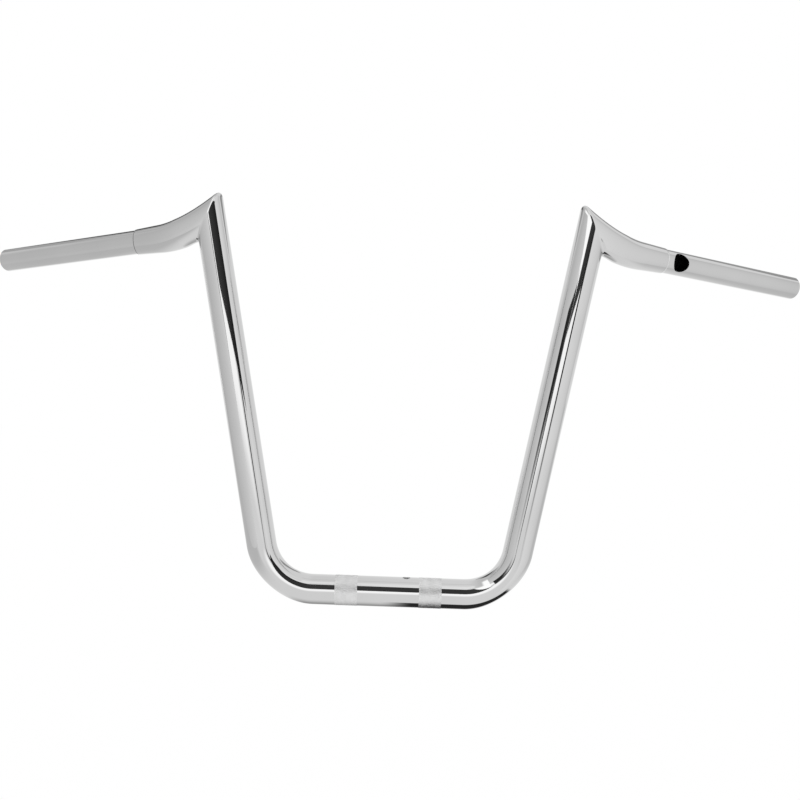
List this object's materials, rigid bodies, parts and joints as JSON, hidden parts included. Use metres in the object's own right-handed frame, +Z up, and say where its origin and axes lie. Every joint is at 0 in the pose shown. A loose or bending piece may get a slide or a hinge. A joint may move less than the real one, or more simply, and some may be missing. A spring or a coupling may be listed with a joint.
{
  "type": "ape hanger handlebar",
  "caption": "Tall chromed handlebar with a clamped base, leaning legs, pointed peaks and tapered arms that carry slimmer swept-back grip tubes.",
  "frame": {"origin": "on the axis of the clamped base, midway between its two knurled bands", "axes": "+X across the motorcycle to the right grip of the picture, +Y back towards the rider, +Z up"},
  "size_m": [0.9266, 0.1714, 0.4319],
  "materials": {
    "chrome": "polished chrome plate on steel tube"
  },
  "bodies": {
    "root": {"main_bend": "chrome", "left_arm": "chrome", "right_arm": "chrome", "left_grip_tube": "chrome", "right_grip_tube": "chrome"}
  },
  "joints": []
}
